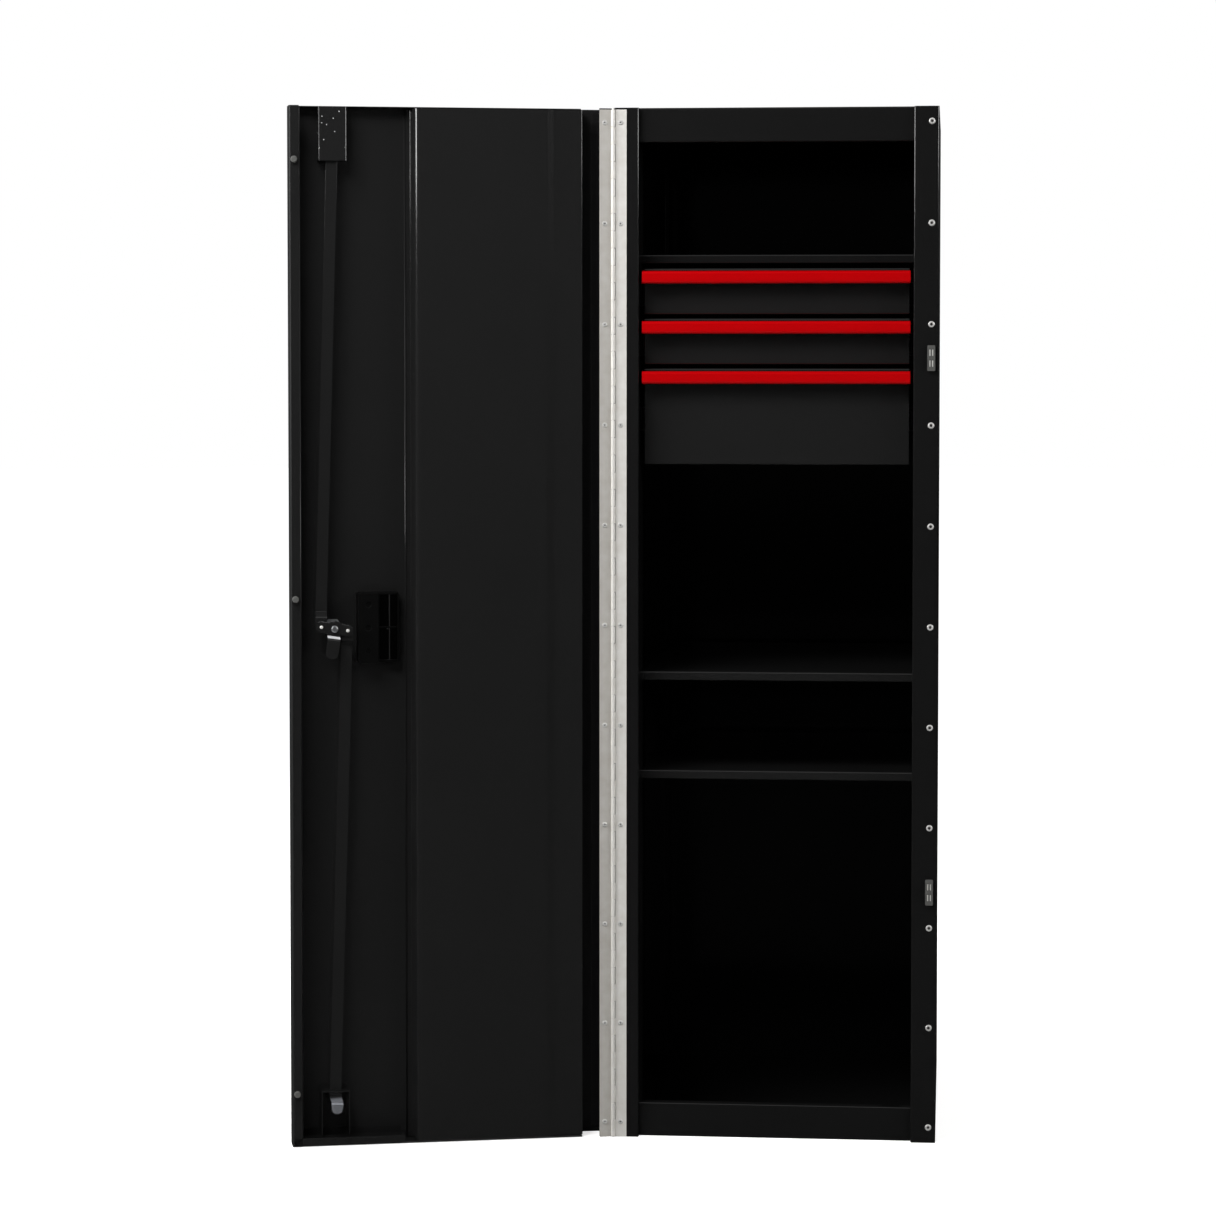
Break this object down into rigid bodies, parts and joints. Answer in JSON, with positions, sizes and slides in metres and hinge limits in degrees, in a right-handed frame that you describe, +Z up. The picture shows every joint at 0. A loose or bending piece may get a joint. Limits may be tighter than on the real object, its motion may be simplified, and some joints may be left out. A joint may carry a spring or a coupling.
{
  "type": "tool chest side locker",
  "caption": "Tall black steel side locker with a full-height door on a piano hinge, a rod lock worked by a turning cam, shelves and sliding drawers with red pulls.",
  "frame": {"origin": "middle of the cabinet's footprint, on the floor", "axes": "+Z up, -Y out of the open face, +X to the right as one faces it; the door hangs at -X"},
  "size_m": [0.956, 0.7658, 1.54],
  "materials": {
    "black_powder_coat": "gloss black powder coat",
    "red_powder_coat": "gloss red powder coat",
    "stainless_hinge": "rolled stainless, satin",
    "zinc_plated_steel": "bright zinc plating",
    "chromed_lock": "polished",
    "black_plastic": "moulded, satin",
    "grey_rubber": "matt"
  },
  "bodies": {
    "cabinet": {"left_side_panel": "black_powder_coat", "right_side_panel": "black_powder_coat", "back_panel": "black_powder_coat", "top_panel": "black_powder_coat", "bottom_panel": "black_powder_coat", "front_left_upright": "black_powder_coat", "front_right_upright": "black_powder_coat", "rear_left_upright": "black_powder_coat", "rear_right_upright": "black_powder_coat", "upper_shelf": "black_powder_coat", "middle_shelf": "black_powder_coat", "lower_shelf": "black_powder_coat", "hinge_cabinet_leaf": "stainless_hinge", "hinge_pin": "stainless_hinge", "upper_catch_housing": "black_plastic", "upper_catch_pole": "zinc_plated_steel", "lower_catch_housing": "black_plastic", "lower_catch_pole": "zinc_plated_steel", "top_drawer_left_outer_slide": "zinc_plated_steel", "top_drawer_right_outer_slide": "zinc_plated_steel", "middle_drawer_left_outer_slide": "zinc_plated_steel", "middle_drawer_right_outer_slide": "zinc_plated_steel", "bottom_drawer_left_outer_slide": "zinc_plated_steel", "bottom_drawer_right_outer_slide": "zinc_plated_steel"},
    "door": {"door_pan": "black_powder_coat", "door_inner_panel": "black_powder_coat", "hinge_door_leaf": "stainless_hinge", "upper_rod_guide": "black_powder_coat", "lower_rod_guide": "black_powder_coat", "flush_pull_housing": "black_plastic", "lock_barrel": "chromed_lock", "lock_nut": "zinc_plated_steel", "upper_bumper": "grey_rubber", "middle_bumper": "grey_rubber", "lower_bumper": "grey_rubber"},
    "latch": {"lock_plug": "chromed_lock", "latch_cam": "black_powder_coat", "cam_screw": "zinc_plated_steel", "upper_rod_pin": "zinc_plated_steel", "lower_rod_pin": "zinc_plated_steel"},
    "upper_rod": {"upper_rod": "black_powder_coat"},
    "lower_rod": {"lower_rod": "black_powder_coat"},
    "top_drawer": {"top_drawer_body": "black_powder_coat", "top_drawer_pull": "red_powder_coat", "top_drawer_left_inner_slide": "zinc_plated_steel", "top_drawer_right_inner_slide": "zinc_plated_steel"},
    "top_drawer_middle_slides": {"top_drawer_left_middle_slide": "zinc_plated_steel", "top_drawer_right_middle_slide": "zinc_plated_steel"},
    "middle_drawer": {"middle_drawer_body": "black_powder_coat", "middle_drawer_pull": "red_powder_coat", "middle_drawer_left_inner_slide": "zinc_plated_steel", "middle_drawer_right_inner_slide": "zinc_plated_steel"},
    "middle_drawer_middle_slides": {"middle_drawer_left_middle_slide": "zinc_plated_steel", "middle_drawer_right_middle_slide": "zinc_plated_steel"},
    "bottom_drawer": {"bottom_drawer_body": "black_powder_coat", "bottom_drawer_pull": "red_powder_coat", "bottom_drawer_left_inner_slide": "zinc_plated_steel", "bottom_drawer_right_inner_slide": "zinc_plated_steel"},
    "bottom_drawer_middle_slides": {"bottom_drawer_left_middle_slide": "zinc_plated_steel", "bottom_drawer_right_middle_slide": "zinc_plated_steel"}
  },
  "joints": [
    {"name": "door_hinge", "type": "hinge", "parent": "cabinet", "child": "door", "pos_m": [-0.2415, -0.3206, 0.77], "axis": [0, 0, -1], "range_deg": [-165.2, 14.8]},
    {"name": "latch_turn", "type": "hinge", "parent": "door", "child": "latch", "pos_m": [-0.64503, -0.41987, 0.77], "axis": [-0.2554, 0.9668, 0], "range_deg": [-8, 82]},
    {"name": "upper_rod_pivot", "type": "hinge", "parent": "latch", "child": "upper_rod", "pos_m": [-0.66389, -0.42486, 0.77274], "axis": [-0.2554, 0.9668, 0], "range_deg": [-84, 8.3]},
    {"name": "lower_rod_pivot", "type": "hinge", "parent": "latch", "child": "lower_rod", "pos_m": [-0.62617, -0.41489, 0.76726], "axis": [-0.2554, 0.9668, 0], "range_deg": [-84, 8.3]},
    {"name": "top_drawer_slide", "type": "slide", "parent": "cabinet", "child": "top_drawer", "axis": [0, -1, 0], "range_m": [0, 0.5]},
    {"name": "top_drawer_half_slide", "type": "slide", "parent": "cabinet", "child": "top_drawer_middle_slides", "axis": [0, -1, 0], "range_m": [0, 0.25]},
    {"name": "middle_drawer_slide", "type": "slide", "parent": "cabinet", "child": "middle_drawer", "axis": [0, -1, 0], "range_m": [0, 0.5]},
    {"name": "middle_drawer_half_slide", "type": "slide", "parent": "cabinet", "child": "middle_drawer_middle_slides", "axis": [0, -1, 0], "range_m": [0, 0.25]},
    {"name": "bottom_drawer_slide", "type": "slide", "parent": "cabinet", "child": "bottom_drawer", "axis": [0, -1, 0], "range_m": [0, 0.5]},
    {"name": "bottom_drawer_half_slide", "type": "slide", "parent": "cabinet", "child": "bottom_drawer_middle_slides", "axis": [0, -1, 0], "range_m": [0, 0.25]}
  ],
  "couplings": [
    {"joint": "upper_rod_pivot", "follows": "latch_turn", "ratio": -1.0188},
    {"joint": "lower_rod_pivot", "follows": "latch_turn", "ratio": -1.0199},
    {"joint": "top_drawer_half_slide", "follows": "top_drawer_slide", "ratio": 0.5},
    {"joint": "middle_drawer_half_slide", "follows": "middle_drawer_slide", "ratio": 0.5},
    {"joint": "bottom_drawer_half_slide", "follows": "bottom_drawer_slide", "ratio": 0.5}
  ]
}
